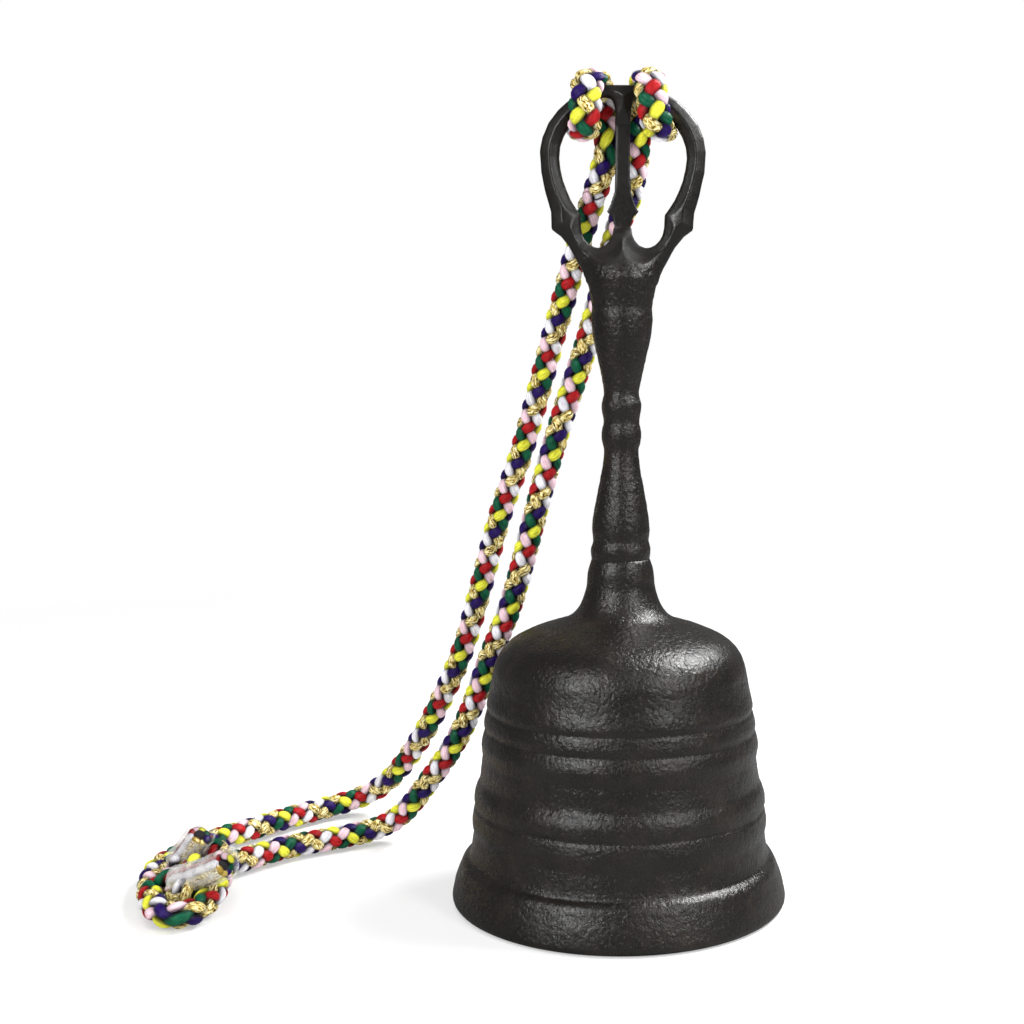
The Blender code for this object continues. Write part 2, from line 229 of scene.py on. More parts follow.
def iron_material(name, rough=0.235, grain=1.0, tint=1.0):
    """Blackened cast iron: an orange-peel skin with small pits, brownish in patches."""
    n = Nodes(name)
    where = n.new("ShaderNodeTexCoord")
    obj = (where, "Object")
    fine = n.noise(3000, 3, 0.6, obj)
    peel = n.noise(1300, 3, 0.6, obj, Distortion=0.35)
    lump = n.noise(560, 2, 0.5, obj)
    patch = n.noise(70, 4, 0.6, obj)
    rust = n.noise(150, 5, 0.65, obj)
    pits = n.new("ShaderNodeTexVoronoi", Scale=800.0, Randomness=1.0, Vector=obj)
    base = n.ramp((patch, 0), (0.30, (0.0056, 0.0048, 0.0042)), (0.52, (0.0084, 0.0071, 0.0061)), (0.72, (0.0124, 0.0104, 0.0087)))
    brown = n.ramp((rust, 0), (0.50, (0, 0, 0)), (0.72, (1, 1, 1)))
    col = n.mix(n.math("MULTIPLY", (brown, 0), 0.45), (base, 0), (0.026 * tint, 0.0165, 0.0110))
    # speckle in the skin's colour: its dark specks are tone, its bright specks are painted glints
    speck_and_glint = n.ramp((fine, 0), (0.38, (0.62, 0.62, 0.62)), (0.64, (1.25, 1.23, 1.20)))
    col = n.mix(1.0, col, (speck_and_glint, 0), "MULTIPLY")
    r = n.math("ADD", n.math("MULTIPLY", (peel, 0), 0.26), rough - 0.13)
    r = n.math("ADD", r, n.math("MULTIPLY", (patch, 0), 0.12))
    hole = n.math("SUBTRACT", 1.0, n.math("MULTIPLY", (pits, "Distance"), 2.2, clamp=True), clamp=True)
    height = n.math("ADD", n.math("MULTIPLY", (fine, 0), 0.28), (peel, 0))
    height = n.math("ADD", height, n.math("MULTIPLY", (lump, 0), 0.50))
    height = n.math("SUBTRACT", height, n.math("MULTIPLY", hole, 0.30))
    # the head above the cup is smoother than the rest
    up = n.new("ShaderNodeSeparateXYZ")
    n.put(up, 0, obj)
    below_head = n.math("SUBTRACT", 1.0, n.math("MULTIPLY", n.math("SUBTRACT", (up, 2), 0.149, clamp=True), 260.0, clamp=True))
    height = n.math("MULTIPLY", height, n.math("ADD", n.math("MULTIPLY", below_head, 0.80), 0.20))
    r = n.math("ADD", r, n.math("MULTIPLY", n.math("SUBTRACT", 1.0, below_head), 0.07))
    # dull dust in the hollows either side of the middle prong's foot
    near = n.new("ShaderNodeCombineXYZ")
    n.put(near, 0, n.math("SUBTRACT", n.math("ABSOLUTE", (up, 0)), 0.0032))
    n.put(near, 2, n.math("SUBTRACT", (up, 2), 0.1535))
    span = n.new("ShaderNodeVectorMath", operation="LENGTH")
    n.put(span, 0, (near, 0))
    dust = n.math("SUBTRACT", 1.0, n.math("MULTIPLY", n.math("SUBTRACT", (span, "Value"), 0.0025, clamp=True), 300.0, clamp=True))
    r = n.math("ADD", r, n.math("MULTIPLY", dust, 0.40))
    # the grip and the cup are the coarsest
    low = n.math("MULTIPLY", n.math("SUBTRACT", (up, 2), 0.080, clamp=True), 200.0, clamp=True)
    height = n.math("MULTIPLY", height, n.math("ADD", n.math("MULTIPLY", n.math("MULTIPLY", low, below_head), 0.20), 1.0))
    b = n.bump(height, 0.86 * grain, 0.00020)
    s = n.new("ShaderNodeBsdfPrincipled", Roughness=r, Normal=(b, 0), Metallic=0.0)
    # painted shade: above the cup the colour is mixed 45% towards near-black, so the head reads darker
    col = n.mix(n.math("MULTIPLY", n.math("SUBTRACT", 1.0, below_head), 0.45), col, (0.003, 0.0027, 0.0024))
    n.put(s, "Base Color", col)
    s.inputs["Specular IOR Level"].default_value = 0.45
    return n.done(s)


def silk_material(name, colour, dark, sheen=0.02, rough=0.36):
    """A silky braid strand: fine filaments along it, darker between them, with painted shade down between the strands.
    """
    n = Nodes(name)
    uv = n.new("ShaderNodeUVMap", uv_map="along")
    deep = n.new("ShaderNodeUVMap", uv_map="depth")
    sep = n.new("ShaderNodeSeparateXYZ")
    n.put(sep, 0, (uv, 0))
    low = n.new("ShaderNodeSeparateXYZ")
    n.put(low, 0, (deep, 0))
    vec = n.new("ShaderNodeCombineXYZ")
    n.put(vec, 0, n.math("MULTIPLY", (sep, 0), 26.0))
    n.put(vec, 1, n.math("MULTIPLY", (sep, 1), 1.4))
    fil = n.noise(1.0, 3, 0.6, (vec, 0))
    vec2 = n.new("ShaderNodeCombineXYZ")
    n.put(vec2, 0, n.math("MULTIPLY", (sep, 0), 80.0))
    n.put(vec2, 1, n.math("MULTIPLY", (sep, 1), 3.0))
    hair = n.noise(1.0, 2, 0.6, (vec2, 0))
    tone = n.noise(0.6, 2, 0.5, (uv, 0))
    line = n.math("ADD", n.math("MULTIPLY", (fil, 0), 0.7), n.math("MULTIPLY", (hair, 0), 0.3))
    c = n.ramp(line, (0.36, dark), (0.52, colour), (0.68, tuple(min(1, v * 1.22 + 0.012) for v in colour)))
    var = n.ramp((tone, 0), (0.3, (0.84, 0.84, 0.84)), (0.7, (1.08, 1.08, 1.08)))
    col = n.mix(1.0, (c, 0), (var, 0), "MULTIPLY")
    # painted shade: the colour is multiplied down towards near-black where the surface lies deep between the strands
    shade = n.ramp((low, 0), (0.50, (0.02, 0.02, 0.025)), (0.72, (0.28, 0.27, 0.29)), (0.92, (1, 1, 1)))
    col = n.mix(1.0, col, (shade, 0), "MULTIPLY")
    b = n.bump(line, 0.8, 0.00032)
    s = n.new("ShaderNodeBsdfPrincipled", Roughness=rough, Normal=(b, 0))
    n.put(s, "Base Color", col)
    s.inputs["Sheen Weight"].default_value = sheen
    s.inputs["Sheen Roughness"].default_value = 0.4
    s.inputs["Specular IOR Level"].default_value = 0.20
    return n.done(s)


def lame_material(name):
    """Gold lame strand: flat metal ribbon laid in short bars across the thread, dark between them, with painted glints
    on the bars and painted shade down between the strands.
    """
    n = Nodes(name)
    uv = n.new("ShaderNodeUVMap", uv_map="along")
    deep = n.new("ShaderNodeUVMap", uv_map="depth")
    sep = n.new("ShaderNodeSeparateXYZ")
    n.put(sep, 0, (uv, 0))
    low = n.new("ShaderNodeSeparateXYZ")
    n.put(low, 0, (deep, 0))
    # narrow ribbons wound along the thread, broken into short bars with dark between; the palest bars are painted
    # glints
    wob = n.noise(2.2, 2, 0.6, (uv, 0))
    across = n.math("ADD", n.math("MULTIPLY", (sep, 0), 22.0), n.math("MULTIPLY", (wob, 0), 6.0))
    across = n.math("ADD", across, n.math("MULTIPLY", (sep, 1), 2.4))
    vec = n.new("ShaderNodeCombineXYZ")
    n.put(vec, 0, across)
    n.put(vec, 1, n.math("MULTIPLY", (sep, 1), 2.6))
    bar = n.noise(0.9, 2, 0.55, (vec, 0))
    bar = (bar, 0)
    # the ramp's palest stop is a painted glint on the metal bars
    c = n.ramp(bar, (0.37, (0.050, 0.026, 0.006)), (0.46, (0.42, 0.28, 0.045)), (0.53, (0.86, 0.69, 0.22)), (0.62, (1.0, 0.96, 0.62)))
    # painted shade: the colour is multiplied down towards near-black where the surface lies deep between the strands
    shade = n.ramp((low, 0), (0.50, (0.05, 0.05, 0.05)), (0.72, (0.42, 0.42, 0.42)), (0.90, (1, 1, 1)))
    col = n.mix(1.0, (c, 0), (shade, 0), "MULTIPLY")
    b = n.bump(bar, 0.8, 0.0004)
    s = n.new("ShaderNodeBsdfPrincipled", Metallic=0.15, Roughness=0.26, Normal=(b, 0))
    n.put(s, "Base Color", col)
    s.inputs["Specular IOR Level"].default_value = 0.5
    return n.done(s)


STRANDS = {
    "red": silk_material("silk_red", (0.42, 0.0050, 0.0080), (0.16, 0.002, 0.003)),
    "yellow": silk_material("silk_yellow", (0.79, 0.80, 0.055), (0.47, 0.42, 0.012)),
    "purple": silk_material("silk_violet", (0.016, 0.002, 0.100), (0.005, 0.001, 0.030)),
    "green": silk_material("silk_green", (0.001, 0.098, 0.044), (0.001, 0.032, 0.015)),
    "white": silk_material("silk_white", (0.84, 0.83, 0.87), (0.52, 0.50, 0.56)),
    "pink": silk_material("silk_pink", (0.87, 0.62, 0.69), (0.60, 0.36, 0.42)),
    "gold": lame_material("gold_lame"),
}
# the braid's core: a near-black tube behind the strands, painted shade seen through the gaps
core = Nodes("braid_core_painted_shade")
s_ = core.new("ShaderNodeBsdfPrincipled", Roughness=0.9)
s_.inputs["Base Color"].default_value = (0.01, 0.008, 0.01, 1)
CORE = core.done(s_)

# Four strands wind one way and four the other; each is on top in every other column.
Z_ORDER = ["red", "yellow", "purple", "gold"]      # a quarter pitch apart down the column at 0 degrees
S_ORDER = ["pink", "green", "gold", "white"]       # down the column at -45 degrees, starting an eighth earlier
SLOTS = ["red", "yellow", "purple", "gold", "green", "white", "pink"]
CORD_D = 6.3
PITCH_LEN = 19.3


def unit(v):
    v = np.asarray(v, float)
    return v / np.maximum(np.linalg.norm(v, axis=-1, keepdims=True), 1e-12)


def tangents(line):
    return unit(np.gradient(line, axis=0))


def carried(line, first):
    """Normals carried along a line without twist."""
    t = tangents(line)
    nrm = np.zeros_like(line)
    v = np.array(first, float)
    nrm[0] = unit(v - t[0] * (v @ t[0]))
    for i in range(len(line) - 1):
        v1 = line[i + 1] - line[i]
        c1 = v1 @ v1
        r = nrm[i] - (2 / c1) * (v1 @ nrm[i]) * v1
        tt = t[i] - (2 / c1) * (v1 @ t[i]) * v1
        v2 = t[i + 1] - tt
        c2 = v2 @ v2
        r = r - (2 / c2) * (v2 @ r) * v2 if c2 > 1e-18 else r
        nrm[i + 1] = unit(r - t[i + 1] * (r @ t[i + 1]))
    return nrm


def turned_by(nrm, t, angle):
    """Normals turned about the line's own direction."""
    angle = np.broadcast_to(angle, (len(nrm),))[:, None]
    return unit(nrm * np.cos(angle) + np.cross(t, nrm) * np.sin(angle))


def arc(line):
    return np.concatenate([[0], np.cumsum(np.linalg.norm(np.diff(line, axis=0), axis=1))])


def tube_faces(n, around, base, closed_ends=True):
    """Quads of a tube of n rings, and of its two flat ends."""
    i = np.arange(n - 1)[:, None] * around
    j = np.arange(around)[None, :]
    a = base + i + j
    b = base + i + (j + 1) % around
    side = np.stack([a, b, b + around, a + around], -1).reshape(-1, 4)
    caps = []
    for end, b0 in ((0, base), (1, base + (n - 1) * around)):
        for w in range(around // 2 - 1):
            f = [b0 + w, b0 + w + 1, b0 + around - 2 - w, b0 + around - 1 - w]
            caps.append(f[::-1] if end == 0 else f)
    return side, np.array(caps)


def braid_parts(line, turns, nrm, sense=1, radius=CORD_D / 2, flat=None, around=12, loose=None):
    """Eight strands braided round a line, and a near-black core behind them that paints shade into the gaps, as arrays.
    turns is how many braid pitches the cord has run at each point, nrm the direction of its zero angle,
    sense +1 where turns grows along the line.  flat is (direction, across, thick) at each point: the
    section is stretched across that direction and squeezed along it."""
    n = len(line)
    t = tangents(line)
    bi = np.cross(nrm, t) * sense
    radius = np.broadcast_to(np.asarray(radius, float), (n,))
    phi = np.linspace(0, 2 * math.pi, around, endpoint=False)
    ca, sa = np.cos(phi), np.sin(phi)
    ex = np.sign(ca) * np.abs(ca) ** 0.92
    ey = np.sign(sa) * np.abs(sa) ** 0.92
    verts, quads, uvs, mats, depth, count = [], [], [], [], [], 0
    for family, order in ((1, Z_ORDER), (-1, S_ORDER)):
        for k in range(4):
            if family == 1:
                theta = -2 * math.pi * (turns - k / 4)
                over = np.cos(4 * theta)
            else:
                theta = 2 * math.pi * (turns + 1 / 8 - k / 4) - math.pi / 4
                over = -np.cos(4 * theta)
            lift = 0.5 + 0.5 * over
            lift = lift * lift * (3 - 2 * lift) * 0.35 + lift * 0.65
            if loose is not None:
                # where the braid is cut loose its strands run straight and side by side
                straight = (k + (0.5 if family < 0 else 0)) * math.pi / 2
                d = (theta - straight + math.pi) % (2 * math.pi) - math.pi
                theta = straight + d * (1 - loose)
                lift = lift * (1 - loose) + 0.62 * loose
            rc = radius * (0.455 + 0.235 * lift)
            thick = radius * (0.195 + 0.120 * lift)
            wide = radius * (0.255 + 0.180 * lift)
            radial = np.cos(theta)[:, None] * nrm + np.sin(theta)[:, None] * bi
            p = line + rc[:, None] * radial
            d = tangents(p)
            side = unit(np.cross(d, radial))
            up = np.cross(side, d)
            ring = p[:, None] + wide[:, None, None] * ex[None, :, None] * side[:, None] + thick[:, None, None] * ey[None, :, None] * up[:, None]
            verts.append(ring.reshape(-1, 3))
            # depth below the braid's surface at each vertex: the strand materials paint shade from it, darker the
            # deeper
            depth.append(((rc[:, None] + thick[:, None] * sa[None]) / radius[:, None]).reshape(-1))
            q, caps = tube_faces(n, around, count)
            along = arc(p) / 2.6 + 17.3 * k + 5.1 * family + 3.0 * abs(float(turns[0]))
            j = np.arange(around)[None, :]
            u0, u1 = np.broadcast_to(j / around, (n - 1, around)), np.broadcast_to((j + 1) / around, (n - 1, around))
            v0, v1 = np.broadcast_to(along[:-1, None], (n - 1, around)), np.broadcast_to(along[1:, None], (n - 1, around))
            uvs.append(np.stack([np.stack([u0, v0], -1), np.stack([u1, v0], -1), np.stack([u1, v1], -1), np.stack([u0, v1], -1)], 2).reshape(-1, 2))
            uvs.append(np.full((caps.size, 2), (0.5, along[0])))
            quads += [q, caps]
            mats.append(np.full(len(q) + len(caps), SLOTS.index(order[k])))
            count += n * around
    verts = np.concatenate(verts)
    squeeze = np.ones(n)
    if flat is not None:
        f, wide_by, thin_by = flat
        f = unit(f - t * (f * t).sum(1)[:, None])
        across = np.cross(t, f)
        v = verts.reshape(8, n, around, 3)
        off = v - line[None, :, None]
        along_f = (off * f[None, :, None]).sum(-1)
        along_s = (off * across[None, :, None]).sum(-1)
        v = v + ((thin_by - 1)[None, :, None] * along_f)[..., None] * f[None, :, None] + ((wide_by - 1)[None, :, None] * along_s)[..., None] * across[None, :, None]
        verts = v.reshape(-1, 3)
        squeeze = thin_by
    ph = np.linspace(0, 2 * math.pi, 12, endpoint=False)
    # the core tube, near-black painted shade in the gaps; its low depth darkens it further
    ring = line[:, None] + (0.44 * radius * squeeze)[:, None, None] * (np.cos(ph)[None, :, None] * nrm[:, None] + np.sin(ph)[None, :, None] * bi[:, None])
    q, caps = tube_faces(n, 12, len(verts))
    verts = np.concatenate([verts, ring.reshape(-1, 3)])
    depth = np.concatenate(depth + [np.full(n * 12, 0.4)])
    quads += [q, caps]
    uvs.append(np.zeros(((len(q) + len(caps)) * 4, 2)))
    mats.append(np.full(len(q) + len(caps), len(SLOTS)))
    quads, uvs, mats = np.concatenate(quads), np.concatenate(uvs), np.concatenate(mats)
    if sense > 0:
        quads = quads[:, ::-1]
        uvs = uvs.reshape(-1, 4, 2)[:, ::-1].reshape(-1, 2)
    return verts, quads, uvs, mats, depth


def braid_object(name, *parts):
    """One piece from one or more braided lengths."""
    verts, quads, uvs, mats, depth, base = [], [], [], [], [], 0
    for v, q, u, m_, d in parts:
        depth.append(d)
        verts.append(v)
        quads.append(q + base)
        uvs.append(u)
        mats.append(m_)
        base += len(v)
    verts = np.concatenate(verts)
    depth = np.concatenate(depth)
    obj = pieces_mesh(name, verts, np.concatenate(quads), uv=np.zeros((len(verts), 2)), uv_faces=np.concatenate(uvs),
                      more={"depth": np.stack([depth, depth * 0], 1)})
    for c in SLOTS:
        obj.data.materials.append(STRANDS[c])
    obj.data.materials.append(CORE)
    obj.data.polygons.foreach_set("material_index", np.concatenate(mats).astype(np.int32))
    return obj


# ================================================================== cord
fall_left_route = [
    (-6.75, 7.75, 166.9), (-9.3, 10.5, 159.5), (-11.5, 13.0, 153.0), (-14.3, 16.5, 143.0), (-17.1, 19.5, 134.0),
    (-21.9, 24.5, 117.0), (-26.2, 28.0, 103.0), (-31.0, 31.5, 90.0), (-35.1, 34.5, 75.5), (-40.5, 38.5, 56.5),
    (-44.5, 42.0, 46.0), (-49.0, 46.0, 36.5), (-54.0, 51.0, 27.0), (-59.2, 56.4, 18.8), (-64.3, 61.0, 11.9),
    (-69.8, 63.9, 6.9), (-75.6, 63.9, 4.3), (-80.9, 60.6, 3.5), (-85.6, 55.8, 3.4), (-90.5, 50.0, 3.4),
    (-95.0, 43.8, 3.4), (-99.0, 38.0, 3.4), (-104.5, 31.0, 3.4),
]
fall_right_route = [
    (1.8, 8.7, 167.0), (-1.1, 11.6, 160.4), (-2.3, 13.2, 156.0), (-3.8, 14.2, 150.0), (-5.7, 14.6, 142.7),
    (-8.1, 15.2, 134.0), (-11.2, 16.2, 124.5), (-14.6, 17.2, 114.5), (-18.3, 18.6, 102.0), (-21.5, 19.8, 90.0),
    (-24.9, 21.0, 77.0), (-28.5, 22.6, 64.5), (-32.0, 24.2, 56.5), (-35.0, 26.0, 48.5), (-38.0, 28.0, 40.0),
    (-42.0, 30.5, 31.0), (-46.5, 33.0, 23.5), (-51.5, 35.5, 16.5), (-56.0, 37.5, 10.0), (-60.0, 38.3, 6.0),
    (-64.5, 37.6, 4.0), (-69.5, 34.8, 3.4), (-74.8, 31.0, 3.4), (-80.0, 27.5, 3.4), (-85.2, 24.0, 3.4),
    (-89.7, 19.0, 3.4), (-94.0, 13.0, 3.4),
]
hitch_left = [
    (-6.5, 7.6, 167.6), (-4.7, 6.4, 172.8), (-3.8, 5.75, 178.5), (-3.8, 5.7, 184.5), (-4.6, 5.0, 189.2),
    (-5.8, 3.2, 191.9), (-7.0, 0.2, 192.5), (-7.8, -2.9, 191.7), (-8.4, -4.7, 188.6), (-8.6, -4.9, 185.2),
    (-8.7, -4.5, 182.2), (-8.8, -2.4, 180.5), (-9.2, 0.8, 180.2), (-9.6, 4.6, 181.2), (-9.2, 8.6, 183.2),
    (-6.0, 11.4, 184.8),
]
hitch_right = [
    (1.9, 8.5, 167.8), (2.9, 6.8, 172.8), (3.5, 5.75, 178.5), (3.5, 5.7, 184.5), (4.0, 5.0, 189.2),
    (4.8, 3.2, 192.1), (5.4, 0.2, 192.8), (5.9, -2.9, 191.9), (6.3, -4.7, 188.6), (6.8, -4.9, 185.2),
    (7.4, -4.5, 182.2), (8.2, -2.4, 180.5), (9.0, 0.8, 180.2), (9.5, 4.6, 181.2), (9.2, 8.6, 183.2),
    (6.0, 11.4, 184.8),
]
STEP = PITCH_LEN / 40
left_line = resample(relax(resample(catmull(fall_left_route), 0.8), 40), STEP)
right_line = resample(relax(resample(catmull(fall_right_route), 0.8), 40), STEP)
hitch_line = resample(relax(resample(catmull(hitch_left + [(0.0, 12.0, 185.2)] + hitch_right[::-1]), 0.6), 8), STEP)
# the hitch starts and ends on the falls' own first points
for end, target in ((0, left_line[0]), (-1, right_line[0])):
    w = np.exp(-(arc(hitch_line) if end == 0 else arc(hitch_line)[-1] - arc(hitch_line)) / 4.0)[:, None]
    hitch_line = hitch_line + w * (target - hitch_line[end])

eye_at = np.array(CAM_AT) / MM


def facing(line, turn=0.0):
    """Normals that face the front, turned about the line."""
    t = tangents(line)
    v = unit(eye_at - line)
    v = unit(v - t * (v * t).sum(1)[:, None])
    return turned_by(v, t, turn)


def turns_at(line, *pairs):
    """Braid pitches run at each point, from pairs of arc length and pitches."""
    x = np.array([p[0] for p in pairs], float)
    y = np.array([p[1] for p in pairs], float)
    s = arc(line)
    out = np.interp(s, x, y)
    # smooth the corners of the steps, so that the lay changes gently
    k = int(18 / STEP)
    pad = np.concatenate([2 * out[0] - out[1 : k + 1][::-1], out, 2 * out[-1] - out[-k - 1 : -1][::-1]])
    return np.convolve(pad, np.ones(2 * k + 1) / (2 * k + 1), "valid")


s_left, s_right = arc(left_line), arc(right_line)
turn_l = turns_at(left_line, (0, -0.15), (60, 3.0), (119.6, 6.0), (164, 8.0), (188.4, 9.0), (229.2, 11.0), (262, 12.66))
turn_r = turns_at(right_line, (0, -2.56), (50.4, 0.0), (131.1, 4.0), (175.5, 6.0), (194.3, 7.0), (235, 9.0))
n_left = facing(left_line, np.radians(np.interp(s_left, [0, 185, 235], [0, 0, 33])))
n_right = facing(right_line, -np.radians(25))
left_parts = braid_parts(left_line, turn_l, n_left)
right_parts = braid_parts(right_line, -turn_r, n_right, sense=-1)
fall_left = braid_object("fall_left", left_parts)
fall_right = braid_object("fall_right", right_parts)

# the hitch runs from the top of the left fall round both sides of the head to the top of the right fall
s_h = arc(hitch_line)
n_h = carried(hitch_line, n_left[0])
t_h = tangents(hitch_line)
want = n_right[0]
now = n_h[-1]
miss = math.atan2(np.cross(now, want) @ t_h[-1], now @ want)
n_h = turned_by(n_h, t_h, miss * s_h / s_h[-1])
first, last = float(turn_l[0]), float(-turn_r[0])
pitches = s_h[-1] / PITCH_LEN
whole = first - pitches
last_near = last + round(whole - last)
turn_h = first + (last_near - first) * s_h / s_h[-1]
# the left wrap has slipped a little round the ring, and took its colours with it
slip = np.clip((s_h - 6) / 12, 0, 1) * np.clip((s_h[-1] / 2 - 4 - s_h) / 12, 0, 1)
turn_h = np.interp(s_h - 3.1 * slip * slip * (3 - 2 * slip), s_h, turn_h)
side_x = np.where(s_h < s_h[-1] / 2, -1.0, 1.0)
centre = np.stack([hitch_line[:, 0], np.zeros(len(s_h)), np.full(len(s_h), 186.4)], 1)
f_h = unit(np.where((np.abs(hitch_line[:, 1:2]) < 9), hitch_line - centre, (0, 1, 0)))
f_h = relax(f_h, 40)
where = np.minimum(s_h, s_h[-1] - s_h)
tight = np.clip((where - 14) / 10, 0, 1)
tight = tight * tight * (3 - 2 * tight)
back = np.clip((np.abs(hitch_line[:, 0]) - 2) / 4, 0, 1)
wide_h = 1 + tight * (0.08 + 0.17 * np.clip((6 - hitch_line[:, 1]) / 6, 0, 1))
thin_h = 1 - tight * 0.30
hitch = braid_object("hitch", braid_parts(hitch_line, turn_h, n_h, sense=-1 if last_near < first else 1, flat=(f_h, wide_h, thin_h)))


# ------------------------------------------------------------------ knot
def settle(lines, radius, free, rounds=200, hold=6):
    """Pushes strands apart where they meet, keeps their point spacing and keeps them above the table."""
    lines = [l.copy() for l in lines]
    rest = [np.linalg.norm(np.diff(l, axis=0), axis=1).mean() for l in lines]
    home = [l.copy() for l in lines]
    idx = np.concatenate([np.full(len(l), i) for i, l in enumerate(lines)])
    mobile = np.concatenate([np.full(len(l), f) for l, f in zip(lines, free)])
    along = np.concatenate([arc(l) for l in lines])
    share = mobile[:, None] / (mobile[:, None] + mobile[None])
    for _ in range(rounds):
        p = np.concatenate(lines)
        d = p[:, None] - p[None]
        dist = np.linalg.norm(d, axis=2)
        far = (idx[:, None] != idx[None]) | (np.abs(along[:, None] - along[None]) > radius * 3.2)
        hit = far & (dist < 2 * radius)
        push = np.where(hit[..., None], d / np.maximum(dist, 1e-6)[..., None] * ((2 * radius - dist) * share)[..., None], 0).sum(1)
        push = 0.5 * push / np.maximum(1, hit.sum(1) * 0.45)[:, None]
        k = 0
        for i, l in enumerate(lines):
            l += push[k : k + len(l)]
            k += len(l)
            l += 0.04 * (1 - free[i]) * (home[i] - l)
            for _ in range(3):
                seg = np.diff(l, axis=0)
                ln = np.linalg.norm(seg, axis=1)[:, None]
                c = 0.5 * seg * (1 - rest[i] / ln)
                l[:-1] += c * 0.5
                l[1:] -= c * 0.5
            l[1:-1] += 0.15 * (0.5 * (l[:-2] + l[2:]) - l[1:-1])
            l[:, 2] = np.maximum(l[:, 2], radius + 0.25)
            l[:hold] = home[i][:hold]
    return lines


KNOT_R = 2.95
loop_outer = [
    tuple(left_line[-12]), tuple(left_line[-1]), (-107.2, 24.6, 3.4), (-110.2, 17.8, 3.4), (-112.6, 11.0, 3.4), (-113.0, 4.0, 3.4),
    (-111.4, -4.6, 3.3), (-108.5, -13.2, 3.2), (-105.3, -19.8, 3.2), (-101.8, -24.2, 3.2), (-98.3, -25.6, 3.2), (-95.9, -23.4, 3.2),
    (-94.6, -18.6, 3.3), (-93.9, -13.2, 3.8), (-94.0, -8.0, 5.0), (-95.0, -2.8, 7.0), (-96.8, 2.2, 8.8), (-99.8, 5.4, 9.2),
    (-103.2, 5.0, 8.2), (-105.2, 1.2, 6.8), (-105.4, -3.0, 6.0),
]
loop_inner = [
    tuple(right_line[-12]), tuple(right_line[-1]), (-98.2, 8.8, 3.4), (-102.2, 3.8, 3.4), (-105.6, -1.4, 3.4), (-106.2, -6.8, 3.4),
    (-104.0, -12.0, 3.5), (-100.6, -15.4, 3.7), (-98.4, -13.4, 4.4), (-99.2, -9.4, 4.8), (-101.4, -7.0, 4.6),
]
tail_a = [(-109.2, 3.6, 4.4), (-108.0, 2.8, 5.4), (-105.2, 1.3, 7.9), (-102.3, -0.8, 11.4), (-99.8, -2.9, 14.7)]
tail_b = [(-106.6, -8.0, 5.1), (-104.6, -9.5, 5.8), (-101.0, -11.4, 6.9), (-96.8, -13.4, 8.7), (-92.7, -15.8, 10.9), (-89.9, -17.8, 12.5)]
ropes = settle([resample(catmull(c), 1.2) for c in (loop_outer, loop_inner)], KNOT_R, (0.12, 0.88))
ropes = [resample(relax(resample(l, 0.5), 10), STEP) for l in ropes]
# the lay draws out where the loop is pulled tight
knot_parts = []
for rope, nrm0, start, sense, draw in ((ropes[0], n_left[-12], turn_l[-12], 1, 1.30), (ropes[1], n_right[-12], -turn_r[-12], -1, 1.1)):
    stretch = 1 + (draw - 1) * np.clip(arc(rope) / 12 - 1, 0, 1)
    run = np.concatenate([[0], np.cumsum(np.diff(arc(rope)) / stretch[1:])]) / PITCH_LEN
    knot_parts.append(braid_parts(rope, start + sense * run, carried(rope, nrm0), sense=sense, radius=KNOT_R * 1.04))
knot = braid_object("knot", *knot_parts)

# ------------------------------------------------------------------ cut ends in clear tape
TAIL_R = 3.1


def film_material(name, low, high):
    """Clear tape: glossy, creased, milky in streaks where its layers hold air."""
    n = Nodes(name)
    uv = n.new("ShaderNodeUVMap", uv_map="wrap")
    sep = n.new("ShaderNodeSeparateXYZ")
    n.put(sep, 0, (uv, 0))
    vec = n.new("ShaderNodeCombineXYZ")
    n.put(vec, 0, n.math("MULTIPLY", (sep, 0), 2.6))
    n.put(vec, 1, n.math("MULTIPLY", (sep, 1), 1.1))
    streak = n.noise(1.0, 3, 0.55, (vec, 0))
    where = n.new("ShaderNodeTexCoord")
    crease = n.noise(380, 2, 0.5, (where, "Object"), Distortion=1.2)
    b = n.bump(n.math("ADD", (crease, 0), (streak, 0)), 0.5, 0.0003)
    clear = n.ramp((streak, 0), (0.36, (low,) * 3), (0.66, (high,) * 3))
    tone = n.ramp((crease, 0), (0.35, (0.86, 0.86, 0.83)), (0.65, (0.95, 0.95, 0.94)))
    s = n.new("ShaderNodeBsdfPrincipled", Roughness=0.16, Normal=(b, 0))
    n.put(s, "Base Color", (tone, 0))
    n.put(s, "Alpha", (clear, 0))
    s.inputs["Specular IOR Level"].default_value = 0.6
    return n.done(s)


film = film_material("clear_tape_film", 0.06, 0.38)


